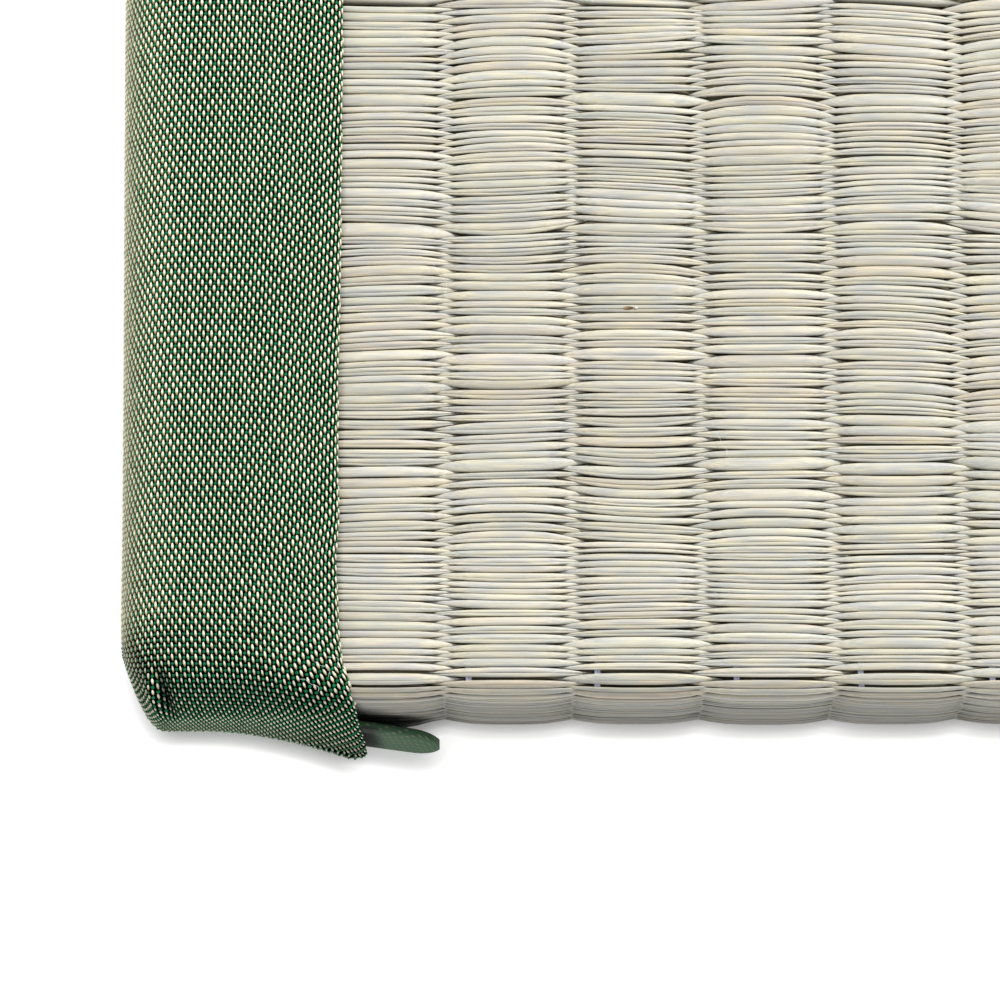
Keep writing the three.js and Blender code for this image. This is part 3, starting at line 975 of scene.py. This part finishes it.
# Painted light and shade on the flecks and knots: VALLEY_SHADE, RIDGE_LIGHT, TOP_LIGHT, CORNER_SHADE and
# ON_END_SHADE.
VALLEY_SHADE, RIDGE_LIGHT = 0.87, 0.2
TOP_LIGHT_FROM, TOP_LIGHT_RUN = 0.401, 0.0625
TOP_LIGHT = (0.99, 0.13)
LOW_FROM, LOW_RUN = 0.0105, 0.006
CORNER_FROM, CORNER_RUN = 0.398, 0.006
CORNER_SHADE, CORNER_SHRINK = 0.2, 0.3
TWIST, TWIST_MORE = 0.07, 0.09
TWIST_FROM, TWIST_RUN = 0.375, 0.03
ON_END_SHADE = 0.08


def cloth_grid():
    """Points on the near part of the left border at even lengths across and along the cloth."""
    u_at = np.arange(-NOSE * math.pi * 0.75, ACROSS[-1], GRID_STEP)
    v_at = np.arange(FLECK_FROM, 0.44, GRID_STEP)
    fine = np.concatenate([np.arange(0.0005, 0.1, 0.0005), [0.1, END]]) / END
    grid = np.zeros((len(u_at), len(v_at), 3))
    ends = np.zeros(len(u_at))
    for number, u in enumerate(u_at):
        distance, inset, nose = place_across(u)
        half = border_half_ring(distance, inset, -1, True, nose, steps=(8, 20, 24), shares=fine)
        half = softened(distance, half, True)[::-1]
        half[:, 0] += rim_shift(u, half)
        length = np.concatenate([[0], np.cumsum(np.linalg.norm(np.diff(half, axis=0), axis=1))])
        for axis in range(3):
            grid[number, :, axis] = np.interp(v_at, length, half[:, axis])
        ends[number] = length[-1]
    return u_at, v_at, grid, ends


GRID_U, GRID_V, GRID, GRID_ENDS = cloth_grid()


def on_grid(u, v):
    """Points of the grid at places (u, v), blended between its four neighbours."""
    a = np.clip((u - GRID_U[0]) / GRID_STEP, 0, len(GRID_U) - 1.001)
    b = np.clip((v - GRID_V[0]) / GRID_STEP, 0, len(GRID_V) - 1.001)
    i, j = a.astype(int), b.astype(int)
    p, q = (a - i)[:, None], (b - j)[:, None]
    near = GRID[i, j] * (1 - p) + GRID[i + 1, j] * p
    far = GRID[i, j + 1] * (1 - p) + GRID[i + 1, j + 1] * p
    return near * (1 - q) + far * q


def unit(vectors):
    return vectors / np.linalg.norm(vectors, axis=1, keepdims=True)


def beads(name, site, sizes, sides, profile, colours, finish):
    """Closed oval beads, each with its long way along and its crown up. The profile gives the stations along
    a bead, and its width and height there. Colours are given for the stations and the tips."""
    centres, along, up = site
    side = np.cross(along, up)
    angle = np.arange(sides) * 2 * math.pi / sides + math.pi / 2
    long, wide, high = [
        (half[:, None] * share)[:, :, None, None] for half, share in zip(sizes, np.array(profile))]
    rings = centres[:, None, None] + along[:, None, None] * long
    rings = rings + side[:, None, None] * wide * np.cos(angle)[:, None]
    rings = rings + up[:, None, None] * high * np.sin(angle)[:, None]
    tips = centres[:, None] + along[:, None] * (sizes[0][:, None] * np.array([-1, 1]))[:, :, None]
    made = ringed_forms(name, rings, tips, finish)
    tint_forms(made, "thread_colour", colours, sides)
    return made


def on_cloth(woven_u, woven_v):
    """Points on the near part of the cloth at places of the weave, and the lengths across and along it."""
    u, v = woven_u.copy(), woven_v.copy()
    for _ in range(12):
        seen_u, seen_v = weave_place(u, v)
        u, v = u + woven_u - seen_u, v + woven_v - seen_v
    return on_grid(u, v), u, v


def weave_sites(parity):
    """The woven sites of one parity near the corner: centres, thread directions, normals, a factor of painted
    light and shade, how squarely each faces out over the near end, how low it lies there, and its room along
    and across."""
    columns = np.arange(-12, int(ACROSS[-1] / WARP_PITCH) + 16)
    rows = np.arange(int(FLECK_FROM / WEFT_PITCH), int(0.46 / WEFT_PITCH))
    column, row = np.meshgrid(columns, rows, indexing="ij")
    keep = (column + row) % 2 == parity
    woven_u, woven_v = column[keep] * WARP_PITCH, row[keep] * WEFT_PITCH
    centre, u, v = on_cloth(woven_u, woven_v)
    limit = np.interp(u, GRID_U, GRID_ENDS)
    inside = (u > GRID_U[1]) & (u < GRID_U[-2]) & (v > FLECK_FROM + 0.0005) & (v < limit - 0.0015)
    woven_u, woven_v, centre, u, v = [values[inside] for values in (woven_u, woven_v, centre, u, v)]
    step = 0.6 * WARP_PITCH
    run = on_cloth(woven_u, woven_v + step)[0] - on_cloth(woven_u, woven_v - step)[0]
    cross = on_cloth(woven_u + step, woven_v)[0] - on_cloth(woven_u - step, woven_v)[0]
    along, across = unit(run), unit(cross)
    long_room = np.clip(np.linalg.norm(run, axis=1) / step / 2, *ROOM_LIMITS)
    wide_room = np.clip(np.linalg.norm(np.cross(cross, along), axis=1) / step / 2, *ROOM_LIMITS)
    up = unit(np.cross(across, along))
    distance = np.interp(u, ACROSS, ACROSS_DISTANCE)
    crown = BORDER_TOP - np.array([shoulder(d)[0] for d in distance])
    topmost = np.stack([centre[:, 0], centre[:, 1], crown], -1)
    folded = crease(distance[:, None], np.stack([topmost, centre], 1))[:, 1]
    # Painted light and shade in lit: darker in the crease's valley and lighter on its ridge, lighter further
    # from the near end, and darker where the cloth faces out at the corner and where it faces the near end.
    shaded = VALLEY_SHADE * np.clip(folded, 0, 1) + RIDGE_LIGHT * np.clip(folded, -1, 0)
    lit = 1 - shaded * (centre[:, 1] < NEAR_END)
    lit *= TOP_LIGHT[0] + TOP_LIGHT[1] * np.clip((TOP_LIGHT_FROM - v) / TOP_LIGHT_RUN, 0, 1)
    on_end = np.clip(-up[:, 1], 0, 1) ** 1.5
    low = ease((LOW_FROM - centre[:, 2]) / LOW_RUN) * on_end
    on_corner = np.clip(-up[:, 0], 0, 1) * ease((v - CORNER_FROM) / CORNER_RUN)
    lit *= 1 - CORNER_SHADE * on_corner
    lit *= 1 - ON_END_SHADE * on_end
    wide_room = wide_room * (1 - CORNER_SHRINK * on_corner)
    long_room = long_room * (1 - CORNER_SHRINK * on_corner)
    twist = TWIST + TWIST_MORE * ease((v - TWIST_FROM) / TWIST_RUN)
    leaning = unit(along - twist[:, None] * np.cross(along, up))
    return centre, leaning, across, up, lit[:, None], on_end, low, long_room, wide_room


def faded(tones, low):
    """Thread colours dulled towards one grey green, where the cloth hangs low on the end."""
    dulled = 0.5 * low[:, None, None]
    return tones * (1 - dulled) + LOW_TONE * dulled


def thread_finish(name, dark, light, roughness, specular):
    """Thread of one colour, mottled between two strengths of the tint that its points carry."""
    finish, tree, shader = new_finish(name)
    tint = add_node(tree, "ShaderNodeAttribute", {}, attribute_name="thread_colour")
    strength = ranged(tree, specks(tree, 1300.0), 0.3, 0.7, dark, light)
    fill(shader, {"Base Color": scaled(tree, tint.outputs["Color"], strength), "Roughness": roughness,
                  "Specular IOR Level": specular})
    return finish


BEAD_SIDES = 5
FLECK_PROFILE = [(-0.72, -0.12, 0.5), (0.7, 1.0, 0.66), (0.62, 1.0, 0.86)]
KNOT_PROFILE = [(-0.5, 0.5), (0.88, 0.88), (0.9, 0.9)]
# Painted shade along each fleck: a little darker at its upper tip, where it dives under the weft, and dark
# olive over its lower end and tip, which face away from the lamp.
FLECK_TONES = np.array([0.9 * CREAM_THREAD, CREAM_THREAD, CREAM_THREAD, SHADED_FLOAT_END, 0.45 * SHADED_FLOAT_END])
# Painted shade: a knot is darker at its two tips, where it dives under the floats, than along its crown.
KNOT_EDGE, KNOT_CROWN = (0.0006, 0.10, 0.036), (0.0008, 0.17, 0.064)
KNOT_TONES = np.array([KNOT_EDGE, KNOT_CROWN, KNOT_CROWN, KNOT_EDGE])

centre, along, across, up, lit, on_end, low, long_room, wide_room = weave_sites(0)
count = len(centre)
sizes = [size * room * (1 + chance.normal(0, spread, count)) * (1 - 0.33 * on_end) for size, room, spread in
         ((0.00054, long_room, 0.05), (0.000184, wide_room, 0.07), (0.0002, wide_room ** 2, 0.08))]
tones = faded(FLECK_TONES[None] * lit[:, None] * (1 + chance.normal(0, 0.06, (count, 1, 1))), low)
flecks = beads("border_flecks", (centre + up * FLECK_LIFT, along, up), sizes, BEAD_SIDES, FLECK_PROFILE,
               tones, thread_finish("cream_warp_thread", 0.86, 1.12, 0.45, 0.4))
centre, along, across, up, lit, on_end, low, long_room, wide_room = weave_sites(1)
count = len(centre)
sizes = [size * room * (1 + chance.normal(0, spread, count)) * (1 + 0.1 * on_end) for size, room, spread in
         ((0.000225, wide_room, 0.05), (0.000225, long_room, 0.07), (0.00012, 1, 0.08))]
tones = faded(KNOT_TONES[None] * lit[:, None] * (1 + chance.normal(0, 0.08, (count, 1, 1))), low)
knots = beads("border_knots", (centre + up * FLECK_LIFT, across, up), sizes, BEAD_SIDES, KNOT_PROFILE,
              tones, thread_finish("green_weft_thread", 0.8, 1.2, 0.55, 0.12))

# The tail: the end of the left border's side flap. It is the same green cloth folded over once, and it pokes
# out from behind the loose fold and stands a little off the end of the mat.
TAIL_START, TAIL_END = 0.0235, 0.0378
TAIL_LOW, TAIL_HIGH, TAIL_ROOT_HIGH = 0.0005, 0.0065, 0.0112
TAIL_THICK = 0.0015
TAIL_OUT, TAIL_DRIFT, TAIL_LEAN = 0.0007, 0.00105, 0.0009
TAIL_ROOT_REACH = 0.8
TAIL_ROUNDS_AT = 0.78
TAIL_ROUNDNESS, TAIL_THINNING = 0.94, 0.6
TAIL_SQUARENESS = 0.45
TAIL_SIDES = 40
TAIL_DENT = 0.0009
TAIL_DENT_TO, TAIL_SHADE_TO, TAIL_DENT_RUN = 0.56, 0.58, 0.16
TAIL_SHADE = 0.94
TAIL_WEAVE_SLANT = 0.2
TAIL_DOT = (0.00014, 0.00024)
TAIL_GREEN, TAIL_DOT_COLOUR = (0.026, 0.080, 0.036, 1), (0.40, 0.32, 0.19, 1)


def tail_ring(share):
    past = max(0.0, (share - TAIL_ROUNDS_AT) / (1 - TAIL_ROUNDS_AT))
    head = TAIL_HIGH + (TAIL_ROOT_HIGH - TAIL_HIGH) * min(1, max(0.0, (1 - share) / TAIL_ROOT_REACH))
    tall = (head - TAIL_LOW) / 2 * math.sqrt(max(0.02, 1 - TAIL_ROUNDNESS * past * past))
    thick = TAIL_THICK / 2 * math.sqrt(max(0.1, 1 - TAIL_THINNING * past * past))
    angle = np.linspace(0, 2 * math.pi, TAIL_SIDES + 1)[:-1]
    z = (TAIL_LOW + head) / 2 + tall * np.sin(angle)
    round_side = np.sign(np.cos(angle)) * np.abs(np.cos(angle)) ** TAIL_SQUARENESS * thick
    lean = TAIL_LEAN * share * (1 - (z - TAIL_LOW) / (head - TAIL_LOW))
    dent = TAIL_DENT * ease((TAIL_DENT_TO - share) / TAIL_DENT_RUN) * (np.cos(angle) < 0)
    dent = dent * ease((0.75 - np.abs(np.sin(angle))) / 0.5)
    y = MIDDLE - (END + TAIL_OUT + TAIL_DRIFT * share + lean) + round_side + dent
    x = LEFT + TAIL_START + (TAIL_END - TAIL_START) * share
    return np.stack([np.full(len(z), x), y, z], -1)


flap_finish, tree, shader = new_finish("green_flap_cloth")
place = in_weave(tree)
dots = ranged(tree, checked_ovals(tree, place, 0.0, TAIL_DOT), 0.0, 0.5, 0.0, 0.3)
dotted = blended(tree, dots, TAIL_GREEN, TAIL_DOT_COLOUR)
# The third weave value scales the tail's colour down: painted shade near its root.
fill(shader, {"Base Color": scaled(tree, dotted, place.outputs["Z"]), "Roughness": 0.8,
              "Normal": relief(tree, dots, 0.8, 0.00012)})

tail_shares = np.concatenate([np.linspace(0, 0.85, 18), [0.9, 0.94, 0.97, 0.99, 1.0]])
tail_rings = np.array([tail_ring(share) for share in tail_shares])
tail = skin("border_tail", tail_rings, flap_finish)
round_steps = np.linalg.norm(np.diff(tail_rings, axis=1), axis=2)
tail_u = np.concatenate([np.zeros((len(tail_rings), 1)), np.cumsum(round_steps, axis=1)], axis=1)
tail_v = tail_rings[:, :, 0] + TAIL_WEAVE_SLANT * tail_rings[:, :, 2]
# Painted shade: the tail's outer face is darker near its root, in the hollow behind the loose fold.
outer_face = tail_rings[:, :, 1] < tail_rings[:, :, 1].mean(1)[:, None]
dent_shade = ease((TAIL_SHADE_TO - tail_shares) / TAIL_DENT_RUN)[:, None] * outer_face
lay_weave(tail, tail_u, tail_v, 1 - TAIL_SHADE * dent_shade)
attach(tail, "root")
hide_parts("border_left")

# A broken rush: one stem on the top has snapped across, and its neighbours hold it. Its end shows as a
# brown stub beside a pale curl of the stem's skin.
BREAK_X = -0.35275
BREAK_IN = 0.0444
BREAK_SHIFT = [-0.0005, 0.0004]
BREAK_SINK = 0.00003
BREAK_SIZES = np.array([(0.0007, 0.00026), (0.00022, 0.0002), (0.00011, 0.00016)])
BREAK_TONES = np.array([
    [(0.50, 0.46, 0.36), (0.34, 0.27, 0.17), (0.20, 0.13, 0.06), (0.10, 0.05, 0.018), (0.02, 0.01, 0.004)],
    [(0.10, 0.08, 0.05), (0.62, 0.60, 0.54), (0.80, 0.78, 0.72), (0.70, 0.67, 0.58), (0.6, 0.57, 0.5)],
])
break_rib = int((BREAK_X - SIDE) / RIB)
over = [row for row in range(len(ROWS)) if (row - END_ROW + break_rib) % 2 == 1]
break_row = min(over, key=lambda row: abs(ROW_AT[row, break_rib] - BREAK_IN))
break_y = float(on_path(ROW_AT[break_row, break_rib])[0])
break_at = np.array([(BREAK_X + shift, break_y, TOP - BREAK_SINK) for shift in BREAK_SHIFT])
break_way = (break_at, np.tile((1.0, 0, 0), (2, 1)), np.tile((0, 0, 1.0), (2, 1)))
stub = beads("broken_rush", break_way, BREAK_SIZES, 8, FLECK_PROFILE, BREAK_TONES,
             thread_finish("broken_rush_end", 0.9, 1.1, 0.6, 0.3))

# Loose fibres: a few fine white hairs of cotton, shed by the threads. They lie on the border by its rim and
# on the rushes.
FIBRE_RADIUS = 0.000016
FIBRE_POINTS = 14
FIBRE_WHITE = (0.85, 0.87, 0.9, 1)
FIBRES = [
    ((0.0232, 0.0012), (0.0252, -0.0004), 0.0212),
    ((0.0214, -0.0008), (0.0238, -0.0022), 0.0210),
    ((0.0246, 0.0020), (0.0262, 0.0006), 0.0213),
    ((0.0368, 0.0498), (0.0386, 0.0458), 0.0203),
    ((0.0700, 0.0290), (0.0716, 0.0262), 0.0203),
]
fibre_finish, tree, shader = new_finish("white_cotton_fibre")
fill(shader, {"Base Color": FIBRE_WHITE, "Roughness": 0.6})
fibre_lines = []
for (start_in, start_back), (stop_in, stop_back), height in FIBRES:
    share = np.linspace(0, 1, FIBRE_POINTS)
    bend = 0.0005 * np.sin(share * math.pi) + 0.00018 * np.sin(share * 9 + start_in * 900)
    x = LEFT + start_in + (stop_in - start_in) * share + bend
    y = turn_starts + start_back + (stop_back - start_back) * share + 0.6 * bend
    fibre_lines.append(np.stack([x, y, height + 0.0001 * np.sin(share * 7)], -1))
fibres = tubes("loose_fibres", fibre_lines, FIBRE_RADIUS, 4, fibre_finish)

low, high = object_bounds()
